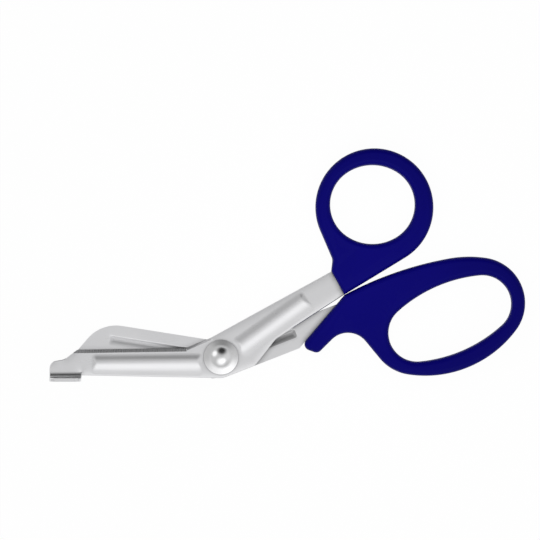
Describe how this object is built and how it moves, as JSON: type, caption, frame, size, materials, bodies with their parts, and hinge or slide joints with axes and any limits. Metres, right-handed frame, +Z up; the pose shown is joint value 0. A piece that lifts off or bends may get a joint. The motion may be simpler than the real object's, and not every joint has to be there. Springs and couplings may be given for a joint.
{
  "type": "bandage scissors",
  "caption": "Bandage scissors with angled stamped steel blades, a blunt safety foot on the lower blade, a rivet pivot and moulded handles; they cut dressings away from the skin.",
  "frame": {"origin": "under the middle of the closed scissors' footprint, on the plane that the handles rest on", "axes": "+X from the safety foot to the finger loop, +Y towards the thumb ring, +Z up through the upper blade and then the lower blade"},
  "size_m": [0.1902, 0.0932, 0.011],
  "materials": {
    "blade_steel": "satin polished stainless sheet",
    "rivet_steel": "polished",
    "handle_plastic": "fine satin moulded"
  },
  "bodies": {
    "thumb_side": {"lower_blade": "blade_steel", "thumb_handle": "handle_plastic", "pivot_rivet": "rivet_steel", "tension_washer": "rivet_steel", "rivet_burr": "rivet_steel"},
    "finger_side": {"upper_blade": "blade_steel", "finger_handle": "handle_plastic"}
  },
  "joints": [
    {"name": "blade_pivot", "type": "hinge", "parent": "thumb_side", "child": "finger_side", "pos_m": [-0.02652, -0.03689, 0.0045], "axis": [0, 0, -1], "range_deg": [0, 136]}
  ]
}
